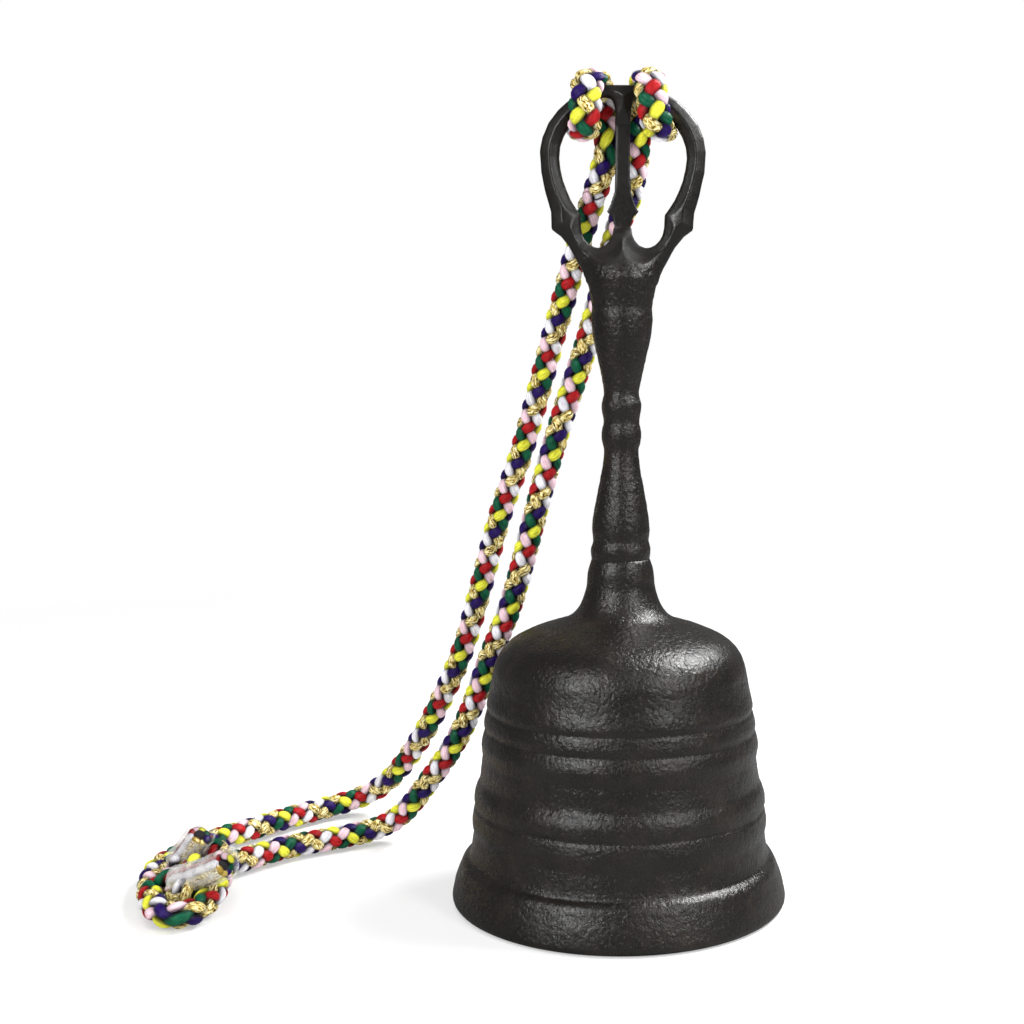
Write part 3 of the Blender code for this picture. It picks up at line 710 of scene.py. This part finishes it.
def tail_and_tape(tag, route, seed, turn0):
    line = resample(catmull(route), STEP)
    s = arc(line)
    nn = carried(line, (0, -0.5, 1))
    turns = turn0 + s / PITCH_LEN * 0.35
    # the cut: the braid opens into its strands, which end at slightly different lengths
    parts = braid_parts(line, turns, nn, radius=TAIL_R, loose=np.clip((s - 1.0) / 4.0, 0, 1))
    g = np.random.default_rng(seed)
    n = len(line)
    v = parts[0].reshape(-1, 3).copy()
    t_end = tangents(line)[-1]
    for k in range(8):
        cut = g.uniform(-0.9, 0.5)
        w = np.clip((s - s[-1] + 4) / 4, 0, 1) ** 2
        block = v[k * n * 12 : (k + 1) * n * 12].reshape(n, 12, 3)
        block += (w[:, None] * cut)[..., None] * t_end
    # each cut end is a flat face of its strand's colour, darkened by painted shade through its depth values
    quads, uvs, mats, depth = parts[1:]
    for k in range(8):
        ring = v[(k + 1) * n * 12 - 12 : (k + 1) * n * 12]
        mid = ring.mean(0)
        base = len(v)
        v = np.concatenate([v, mid + (ring - mid) * 1.03 + t_end * 0.06, mid + (ring - mid) * 0.55 + t_end * 0.22])
        # painted shade: these depth values darken the cut faces through the strands' shade ramps
        depth = np.concatenate([depth, np.full(12, 0.72), np.full(12, 0.84)])
        i = np.arange(12)
        band = np.stack([base + i, base + (i + 1) % 12, base + 12 + (i + 1) % 12, base + 12 + i], 1)
        lid = np.array([[base + 12 + w, base + 13 + w, base + 22 - w, base + 23 - w] for w in range(5)])
        new = np.concatenate([band, lid])[:, ::-1]
        quads = np.concatenate([quads, new])
        uvs = np.concatenate([uvs, np.tile((0.25, 0.3 + k), (new.size, 1))])
        mats = np.concatenate([mats, np.full(len(new), mats[k * ((n - 1) * 12 + 10)])])
    tail = braid_object("tail_" + tag, (v, quads, uvs, mats, depth))
    # the film: wound round it, creased lengthwise, open a little past the cut
    start = int(0.22 * n)
    extra = np.array([line[-1] + t_end * d for d in np.arange(STEP, 1.2, STEP)])
    fl = np.vstack([line[start:], extra])
    fn = carried(fl, nn[start])
    fb = np.cross(tangents(fl), fn)
    around = 64
    ph = np.linspace(0, 2 * math.pi, around, endpoint=False)
    m_ = len(fl)
    a = np.linspace(0, 1, m_)
    key = np.stack([np.broadcast_to(np.cos(ph)[None], (m_, around)) * 1.4, np.broadcast_to(np.sin(ph)[None], (m_, around)) * 1.4, np.broadcast_to(a[:, None] * 1.3, (m_, around))], -1).reshape(-1, 3)
    fold = perlin(key * 1.9 + seed, 40 + seed).reshape(m_, around)
    crisp = perlin(key * 4.5 + seed, 60 + seed).reshape(m_, around)
    lift = 0.26 + 0.20 * np.abs(fold) + 0.12 * np.abs(crisp)
    past = np.clip((a - (1 - 1.2 / max(arc(fl)[-1], 3))) * 4, 0, 1)[:, None]
    lift = lift + past * (0.45 * fold) + 0.25 * (1 - a)[:, None] * np.abs(crisp)
    ring = fl[:, None] + (TAIL_R + lift)[..., None] * (np.cos(ph)[None, :, None] * fn[:, None] + np.sin(ph)[None, :, None] * fb[:, None])
    ragged = 0.9 * perlin(np.stack([np.cos(ph) * 2.2, np.sin(ph) * 2.2, np.full(around, seed * 1.7)], 1), 80 + seed)
    # one side of the loose end sticks up as a flap
    ragged = ragged + 2.0 * np.exp(-(((ph + 0.8 + math.pi) % (2 * math.pi)) - math.pi) ** 2 / 0.6)
    w = np.clip((a - 0.55) / 0.45, 0, 1)[:, None] ** 2
    ring = ring + (w * ragged[None, :])[..., None] * t_end
    inner = fl[:, None] + (ring - fl[:, None]) * 0.985
    side, _ = tube_faces(m_, around, 0, False)
    m2 = m_ * around
    j = np.arange(around)
    e0 = np.stack([j, (j + 1) % around, m2 + (j + 1) % around, m2 + j], 1)
    e1 = np.stack([(m_ - 1) * around + j, (m_ - 1) * around + (j + 1) % around, m2 + (m_ - 1) * around + (j + 1) % around, m2 + (m_ - 1) * around + j], 1)[:, ::-1]
    faces = np.concatenate([side[:, ::-1], side + m2, e0, e1])
    key_uv = np.stack([np.broadcast_to(np.cos(ph * 0.5)[None] * 2, (m_, around)), np.broadcast_to(arc(fl)[:, None] / 5, (m_, around))], -1).reshape(-1, 2)
    wrap = pieces_mesh("tape_" + tag, np.concatenate([ring.reshape(-1, 3), inner.reshape(-1, 3)]), faces, more={"wrap": np.concatenate([key_uv, key_uv])})
    wrap.data.materials.append(film)
    return tail, wrap


tail_1, tape_1 = tail_and_tape("rear", tail_a, 3, 0.35)
tail_2, tape_2 = tail_and_tape("front", tail_b, 8, 0.10)

for o, nodes, slot_ in (
    (fall_left, ["cord_fall_left"], "cord"), (fall_right, ["cord_fall_right"], "cord"), (hitch, ["cord_hitch"], "cord"),
    (knot, ["cord_knot"], "cord"), (tail_1, ["cord_tail_1"], "cord"), (tail_2, ["cord_tail_2"], "cord"),
    (tape_1, ["tape_wrap_1"], "tape"), (tape_2, ["tape_wrap_2"], "tape"),
):
    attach(o, "bell")
    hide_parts(*nodes)


# ================================================================== iron: bell
iron = iron_material("cast_iron_skin")
iron_bell = iron


def pchip(xs, ys, at):
    """Monotone cubic through the points."""
    xs, ys = np.asarray(xs, float), np.asarray(ys, float)
    h = np.diff(xs)
    d = np.diff(ys) / h
    m_ = np.zeros_like(ys)
    for i in range(1, len(xs) - 1):
        if d[i - 1] * d[i] > 0:
            w1, w2 = 2 * h[i] + h[i - 1], h[i] + 2 * h[i - 1]
            m_[i] = (w1 + w2) / (w1 / d[i - 1] + w2 / d[i])
    m_[0], m_[-1] = d[0], d[-1]
    k = np.clip(np.searchsorted(xs, at) - 1, 0, len(h) - 1)
    t = (at - xs[k]) / h[k]
    return (ys[k] * (1 + 2 * t) * (1 - t) ** 2 + h[k] * m_[k] * t * (1 - t) ** 2
            + ys[k + 1] * t * t * (3 - 2 * t) + h[k] * m_[k + 1] * t * t * (t - 1))


bell_outer = [
    (6.62, 81.3), (6.94, 81.1), (7.14, 80.5), (7.5, 79.4), (7.85, 77.9), (8.0, 76.4), (8.1, 75.0), (8.35, 73.6), (9.0, 71.6),
    (10.0, 69.5), (11.5, 67.8), (13.5, 66.7), (16.5, 65.8), (20.0, 64.6), (23.5, 63.1), (26.4, 61.2), (28.5, 58.8),
    (29.8, 55.8), (30.3, 53.2), (30.8, 50.6), (31.4, 48.2), (31.65, 47.0), (31.7, 46.2), (31.75, 45.0), (31.9, 44.0),
    (32.15, 43.0), (32.2, 41.8), (32.2, 40.4), (32.5, 39.4), (32.9, 37.6), (32.75, 36.0), (32.65, 34.5), (32.8, 32.0),
    (33.2, 29.0), (33.9, 27.6), (34.45, 26.0), (34.6, 24.4), (34.6, 22.6), (34.85, 21.0), (35.05, 19.3),
    (34.9, 17.6), (34.8, 16.4), (35.05, 14.0), (35.4, 11.9), (36.2, 10.7), (37.4, 9.3), (38.2, 7.2), (38.9, 5.2),
    (39.5, 2.8), (39.8, 1.2), (39.5, 0.3), (39.0, 0.0),
]
bell_inner = [
    (35.2, 0.0), (34.6, 0.9), (34.0, 3.0), (33.0, 5.5), (31.9, 9.5), (31.2, 15.0), (30.4, 23.0), (29.5, 32.0),
    (28.5, 41.0), (27.5, 48.0), (26.2, 53.2), (24.0, 57.2), (20.5, 60.0), (16.5, 61.5), (10.8, 62.4), (4.2, 62.4),
    (4.2, 81.3),
]


def bell_mesh():
    outer = resample(relax(resample(catmull(bell_outer), 0.2), 6), 0.40)
    inner = resample(catmull(bell_inner[:14]), 1.2)
    profile = np.vstack([outer, inner, np.array(bell_inner[14:])])
    n_out = len(outer)
    around = 560
    a = np.linspace(0, 2 * math.pi, around, endpoint=False)
    r = np.repeat(profile[:, 0][:, None], around, 1)
    z = np.repeat(profile[:, 1][:, None], around, 1)
    # the cast is hand finished: the ridges waver a little
    x, y = r * np.cos(a), r * np.sin(a)
    p = np.stack([x, y, z], -1)
    flat = p[:n_out].reshape(-1, 3)
    wave = perlin(flat * (0.055, 0.055, 0.11), 1) * 0.22 + perlin(flat * (0.16, 0.16, 0.25), 2) * 0.10
    skin = perlin(flat * 0.62, 3) * 0.045 + perlin(flat * 1.25, 4) * 0.040 + perlin(flat * 2.1, 14) * 0.022
    zz = flat[:, 2]
    # sharp scratch-like grooves where the ridges were cut
    rr = np.hypot(flat[:, 0], flat[:, 1])
    ang = np.arctan2(flat[:, 1], flat[:, 0])
    cut = np.zeros(len(flat))
    for k, (z0, depth, width) in enumerate(((45.6, 0.36, 0.55), (41.0, 0.34, 0.5), (34.5, 0.08, 0.9), (22.9, 0.36, 0.5), (16.4, 0.10, 0.9), (10.9, 0.30, 0.55))):
        swing = perlin(np.stack([np.cos(ang) * 1.3, np.sin(ang) * 1.3, np.full(len(ang), k * 3.7)], 1), 5) * 0.28
        cut += depth * np.exp(-((zz - z0 - swing) / width) ** 2) * (1 + 0.35 * perlin(np.stack([np.cos(ang) * 6, np.sin(ang) * 6, np.full(len(ang), k * 9.1)], 1), 6))
    fade = np.clip((rr - 8) / 6, 0.75, 1) * np.clip(zz / 1.5, 0, 1) * np.clip((81.3 - zz) / 1.0, 0, 1)
    move = (wave * np.clip(zz / 8, 0, 1) + skin) * fade - cut
    prof_n = np.gradient(outer, axis=0)
    nr, nz = -prof_n[:, 1], prof_n[:, 0]
    ln = np.hypot(nr, nz)
    nr, nz = nr / ln, nz / ln
    move = move.reshape(n_out, around)
    p[:n_out, :, 0] += move * nr[:, None] * np.cos(a)
    p[:n_out, :, 1] += move * nr[:, None] * np.sin(a)
    p[:n_out, :, 2] += move * nz[:, None]
    inn = p[n_out:-3].reshape(-1, 3)
    rough = perlin(inn * 0.5, 7) * 0.10 + perlin(inn * 1.3, 8) * 0.05
    ii = inn * (1, 1, 0)
    ii /= np.maximum(np.linalg.norm(ii, axis=1), 1e-6)[:, None]
    inn = inn + ii * (rough * np.clip(inn[:, 2] / 2, 0, 1))[:, None]
    p[n_out:-3] = inn.reshape(p[n_out:-3].shape)
    p[..., 2] = np.maximum(p[..., 2], 0.0)
    rows = len(profile)
    i = np.arange(rows)[:, None]
    j = np.arange(around)[None, :]
    A = i * around + j
    B = i * around + (j + 1) % around
    C = ((i + 1) % rows) * around + (j + 1) % around
    D = ((i + 1) % rows) * around + j
    q = np.stack([A, D, C, B], -1).reshape(-1, 4)
    return pieces_mesh("bell_casting", p.reshape(-1, 3), q)


bell = bell_mesh()
bell.data.materials.append(iron_bell)
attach(bell, "bell")
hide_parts("bell_shell")


# ================================================================== iron: handle
def polygon_distance(px, pz, poly):
    """Signed distance from points to a closed outline, positive inside."""
    poly = np.array(poly, float)
    best = np.full(px.shape, 1e9)
    inside = np.zeros(px.shape, bool)
    n = len(poly)
    for i in range(n):
        ax, az = poly[i]
        bx, bz = poly[(i + 1) % n]
        ex, ez = bx - ax, bz - az
        l2 = ex * ex + ez * ez
        if l2 < 1e-12:
            continue
        t = np.clip(((px - ax) * ex + (pz - az) * ez) / l2, 0, 1)
        best = np.minimum(best, (px - ax - t * ex) ** 2 + (pz - az - t * ez) ** 2)
        cond = (az > pz) != (bz > pz)
        with np.errstate(divide="ignore", invalid="ignore"):
            xi = ax + (pz - az) * ex / (ez if ez != 0 else 1e-12)
        inside ^= cond & (px < xi)
    d = np.sqrt(best)
    return np.where(inside, d, -d)


def smin(a, b, k):
    h = np.clip(0.5 + 0.5 * (b - a) / k, 0, 1)
    return b * (1 - h) + a * h - k * h * (1 - h)


def surface_net(field, origin, step):
    """The zero surface of a field (inside negative) as quads: one vertex in each cell that it crosses."""
    f = field
    nx, ny, nz = f.shape
    neg = f < 0
    c = [neg[i : nx - 1 + i, j : ny - 1 + j, k : nz - 1 + k] for i in (0, 1) for j in (0, 1) for k in (0, 1)]
    total = sum(x.astype(np.int8) for x in c)
    cross = (total > 0) & (total < 8)
    idx = np.full(cross.shape, -1, np.int64)
    cells = np.argwhere(cross)
    idx[cross] = np.arange(len(cells))
    acc = np.zeros((len(cells), 3))
    cnt = np.zeros(len(cells))
    corner = {}
    for i in (0, 1):
        for j in (0, 1):
            for k in (0, 1):
                corner[i, j, k] = f[cells[:, 0] + i, cells[:, 1] + j, cells[:, 2] + k]
    edges = []
    for i in (0, 1):
        for j in (0, 1):
            edges.append(((0, i, j), (1, i, j)))
            edges.append(((i, 0, j), (i, 1, j)))
            edges.append(((i, j, 0), (i, j, 1)))
    for a, b in edges:
        fa, fb = corner[a], corner[b]
        hit = (fa < 0) != (fb < 0)
        t = np.where(hit, fa / np.where(hit, fa - fb, 1), 0)
        pt = np.array(a)[None, :] + t[:, None] * (np.array(b) - np.array(a))[None, :]
        acc += np.where(hit[:, None], pt, 0)
        cnt += hit
    verts = cells + acc / cnt[:, None]
    verts = verts * step + origin
    quads = []
    for axis in range(3):
        sl0 = [slice(1, -1)] * 3
        sl0[axis] = slice(0, -1)
        sl1 = [slice(1, -1)] * 3
        sl1[axis] = slice(1, None)
        n0, n1 = neg[tuple(sl0)], neg[tuple(sl1)]
        change = np.argwhere(n0 != n1)
        if not len(change):
            continue
        off = np.array([1, 1, 1])
        off[axis] = 0
        e = change + off
        u, v = [(1, 2), (2, 0), (0, 1)][axis]
        du = np.zeros(3, int)
        du[u] = 1
        dv = np.zeros(3, int)
        dv[v] = 1
        quad = np.stack([idx[tuple((e - du - dv).T)], idx[tuple((e - dv).T)], idx[tuple(e.T)], idx[tuple((e - du).T)]], 1)
        flip = ~n0[tuple(change.T)]
        quad[flip] = quad[flip][:, ::-1]
        quads.append(quad)
    return verts, np.concatenate(quads)


grip = [
    (79.5, 6.80), (80.6, 6.86), (81.3, 6.86), (81.9, 6.96), (82.7, 7.05), (83.7, 7.02), (84.6, 6.76), (85.5, 6.54), (86.5, 6.62), (87.4, 6.78),
    (88.4, 6.78), (90.3, 6.65), (92.2, 6.37), (94.1, 6.06), (96.0, 5.67), (97.9, 5.36), (99.7, 5.00), (101.6, 4.64),
    (103.5, 4.34), (105.4, 4.10), (106.3, 4.04), (107.3, 4.10), (108.2, 4.38), (109.1, 4.57), (110.1, 4.66),
    (111.0, 4.65), (112.0, 4.49), (112.9, 4.24), (113.8, 4.19), (114.8, 4.34), (115.7, 4.55), (116.6, 4.65),
    (117.6, 4.65), (118.5, 4.45), (119.4, 4.18), (120.4, 4.13), (121.3, 4.19), (122.2, 4.38), (124.1, 4.74),
    (126.0, 5.16), (127.8, 5.55), (129.7, 5.95), (131.5, 6.38), (133.4, 6.82), (135.3, 7.02), (137.1, 7.16),
    (138.5, 7.10), (139.9, 6.98), (141.5, 7.25), (143.6, 7.64), (145.4, 7.96), (147.0, 8.25), (149.0, 8.45), (151.0, 8.3),
    (153.0, 7.4), (155.0, 5.6), (157.0, 3.0), (158.5, 0.01),
]
head_edge = [
    (0.0, 146.0), (8.0, 146.0), (8.6, 147.3), (9.5, 148.8), (11.0, 151.6), (12.3, 153.9), (14.25, 156.3), (16.4, 157.9),
    (16.6, 161.8), (17.9, 166.3), (18.9, 171.0), (19.2, 175.6), (18.6, 178.8), (17.3, 182.0), (15.0, 184.9), (12.6, 187.1), (10.0, 188.7),
    (8.0, 189.7), (5.8, 190.5), (4.3, 190.75), (0.0, 190.75),
]
head_opening = [
    (5.35, 153.7), (6.4, 153.8), (7.6, 154.4), (8.6, 155.4), (9.3, 156.7), (9.64, 158.4), (9.75, 161.3), (10.85, 162.8), (12.0, 164.6), (13.0, 166.8),
    (13.9, 169.2), (14.5, 171.8), (14.75, 174.2), (14.5, 176.8), (13.6, 179.2), (12.2, 181.4), (10.4, 183.4), (8.3, 185.5), (6.6, 187.0), (5.2, 187.9), (4.0, 188.1), (3.0, 187.8),
    (2.3, 187.0), (1.95, 185.6), (1.8, 184.0), (1.8, 169.0), (2.1, 166.3), (3.0, 163.7), (3.8, 161.9), (2.5, 160.7),
    (2.05, 158.8), (2.3, 156.7), (2.9, 155.4), (3.9, 154.3),
]


def handle_mesh():
    step = 0.30
    zlo, zhi = 79.5, 192.0
    xs = np.arange(-20.4, 20.41, step)
    ys = np.arange(-9.9, 9.91, step)
    zs = np.arange(zlo, zhi, step)
    X, Z = np.meshgrid(xs, zs, indexing="ij")
    edge = head_edge + [(-x, z) for x, z in reversed(head_edge[1:-1])]
    d_out = polygon_distance(X, Z, edge)
    d_or = -polygon_distance(X, Z, head_opening)
    d_ol = -polygon_distance(X, Z, [(-x, z) for x, z in head_opening])
    d_open = np.minimum(d_or, d_ol)
    # how thick the plate may be: a roof that rises from the outer edge, and one that rises from the openings
    t_out = 0.95 + 0.66 * np.minimum(d_out, 2.6) - 0.03 * np.clip(d_out, 0, 9) ** 2
    t_open = 0.95 + 0.60 * d_open + 0.42 * np.clip(d_open - 1.7, 0, None) ** 2
    r = np.interp(zs, [g[0] for g in grip], [g[1] for g in grip])
    # above the cup the round body flattens front to back
    flat = np.clip(1 - 0.055 * np.clip(zs - 146.5, 0, None), 0.2, 1)
    Y = ys[None, :, None]
    rad = np.sqrt(X[:, None, :] ** 2 + (Y / flat[None, None, :]) ** 2)
    body = rad - r[None, None, :]
    body = np.maximum(np.maximum(body, 80.3 - zs[None, None, :]), zs[None, None, :] - 158.5)
    plate = np.maximum(np.abs(Y) - t_out[:, None, :], -d_out[:, None, :])
    plate = -smin(-(np.abs(Y) - t_out[:, None, :]), d_out[:, None, :] + 0 * Y, 0.5)
    solid = smin(body, plate, 1.4)
    limit = np.abs(Y) - t_open[:, None, :]
    limit = -smin(-limit, d_open[:, None, :] + 0 * Y, 0.5)
    solid = -smin(-solid, -limit, 0.15)
    solid = np.maximum(solid, zs[None, None, :] - 190.75)
    v, q = surface_net(solid, np.array([xs[0], ys[0], zs[0]]), step)
    return v, q


def vertex_normals(v, q):
    n = np.cross(v[q[:, 2]] - v[q[:, 0]], v[q[:, 3]] - v[q[:, 1]])
    out = np.zeros_like(v)
    for k in range(4):
        for c in range(3):
            out[:, c] += np.bincount(q[:, k], n[:, c], len(v))
    return out / np.maximum(np.linalg.norm(out, axis=1), 1e-12)[:, None]


def soften(v, q, rounds, amount=0.5):
    e = np.concatenate([q[:, [0, 1]], q[:, [1, 2]], q[:, [2, 3]], q[:, [3, 0]]])
    deg = np.bincount(e.ravel(), minlength=len(v)).astype(float)
    for _ in range(rounds):
        acc = np.zeros_like(v)
        for c in range(3):
            acc[:, c] = np.bincount(e[:, 0], v[e[:, 1], c], len(v)) + np.bincount(e[:, 1], v[e[:, 0], c], len(v))
        v = v + amount * (acc / deg[:, None] - v)
    return v


hv, hq = handle_mesh()
hv = soften(hv, hq, 1, 0.45)
hn = vertex_normals(hv, hq)
z = hv[:, 2]
pebble = perlin(hv * 0.62, 21) * 0.05 + perlin(hv * 1.2, 22) * 0.05 + perlin(hv * 2.1, 23) * 0.025
lumps = perlin(hv * 0.95, 24)
coarse = np.exp(-((z - 146.5) / 4.0) ** 2) * (np.abs(hv[:, 0]) < 9)
quiet = np.clip((z - 151) / 3, 0, 1)
move = pebble * (1 - 0.80 * quiet) + coarse * (0.16 * np.clip(lumps, -0.2, 1)) + perlin(hv * (0.12, 0.12, 0.18), 25) * 0.10
hv = hv + hn * move[:, None]
handle = pieces_mesh("handle_casting", hv, hq)
handle.data.materials.append(iron_material("cast_iron_grip"))
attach(handle, "bell")
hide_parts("handle")

for n_ in ("crown_washer", "tenon_nut", "clapper_eye", "clapper_ring", "clapper_rod", "clapper_ball"):
    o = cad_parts[n_]
    o.data.materials.clear()
    o.data.materials.append(iron)
# ================================================================== floor and light
floor = bpy.data.meshes.new("floor")
bm = bmesh.new()
W = 3.0
vs = [bm.verts.new(c) for c in ((-W, -W, 0), (W, -W, 0), (W, W, 0), (-W, W, 0))]
bm.faces.new(vs)
bm.to_mesh(floor)
bm.free()
floor_obj = bpy.data.objects.new("floor", floor)
bpy.context.scene.collection.objects.link(floor_obj)
fm = Nodes("floor_paper")
s_ = fm.new("ShaderNodeBsdfPrincipled", Roughness=0.9)
s_.inputs["Base Color"].default_value = (0.90, 0.90, 0.90, 1)
s_.inputs["Specular IOR Level"].default_value = 0.1
glow = fm.new("ShaderNodeEmission", Strength=1.0)
where = fm.new("ShaderNodeTexCoord")
reach = fm.new("ShaderNodeVectorMath", operation="LENGTH")
fm.put(reach, 0, (where, "Object"))
away = fm.ramp(fm.math("MULTIPLY", (reach, 1), 1.0), (0.12, (0.42, 0.42, 0.42)), (0.60, (1, 1, 1)))
# the paper is seen white, and lights the iron only softly
seen = fm.new("ShaderNodeLightPath")
dim = fm.new("ShaderNodeMixShader")
shade = fm.new("ShaderNodeBsdfDiffuse")
shade.inputs["Color"].default_value = (0.22, 0.22, 0.22, 1)
fm.put(dim, 0, (seen, "Is Glossy Ray"))
fm.put(dim, 1, (s_, 0))
fm.put(dim, 2, (shade, 0))
s_ = dim
amount = fm.math("MULTIPLY", (away, 0), (seen, "Is Camera Ray"))
blend = fm.new("ShaderNodeMixShader")
fm.put(blend, 0, amount)
fm.put(blend, 1, (s_, 0))
fm.put(blend, 2, (glow, 0))
s_ = blend
floor.materials.append(fm.done(s_))
floor_obj.location.z = -0.0003

world = bpy.data.worlds.new("studio")
bpy.context.scene.world = world
world.use_nodes = True
wt = world.node_tree
wt.nodes.clear()
w_out = wt.nodes.new("ShaderNodeOutputWorld")
w_seen = wt.nodes.new("ShaderNodeBackground")
w_seen.inputs[0].default_value = (1, 1, 1, 1)
w_seen.inputs[1].default_value = 1.0
w_lit = wt.nodes.new("ShaderNodeBackground")
w_lit.inputs[0].default_value = (0.97, 0.98, 1.0, 1)
w_lit.inputs[1].default_value = 0.16
w_ray = wt.nodes.new("ShaderNodeLightPath")
w_mix = wt.nodes.new("ShaderNodeMixShader")
wt.links.new(w_ray.outputs["Is Camera Ray"], w_mix.inputs[0])
wt.links.new(w_lit.outputs[0], w_mix.inputs[1])
wt.links.new(w_seen.outputs[0], w_mix.inputs[2])
wt.links.new(w_mix.outputs[0], w_out.inputs[0])


def area(name, at, aim, size, power, colour=(1, 1, 1)):
    l = bpy.data.lights.new(name, "AREA")
    l.shape = "RECTANGLE"
    l.size, l.size_y = size
    l.energy = power
    l.color = colour
    o = bpy.data.objects.new(name, l)
    bpy.context.scene.collection.objects.link(o)
    o.location = at
    o.rotation_euler = (Vector(aim) - Vector(at)).to_track_quat("-Z", "Y").to_euler()
    return o


area("soft_left", (-0.50, -0.72, 0.50), (0, 0, 0.08), (0.19, 0.42), 5.5)
area("soft_right", (0.62, -0.62, 0.52), (0, 0, 0.08), (0.19, 0.42), 3.7)
area("high_right", (0.41, 0.13, 0.61), (0.01, 0, 0.07), (0.34, 0.24), 8.5)
# a broad soft light from above, which the iron does not mirror
area("fill", (-0.2, -0.2, 1.0), (0, 0, 0.05), (0.8, 0.8), 5.0).visible_glossy = False

bpy.context.scene.view_settings.view_transform = "Standard"
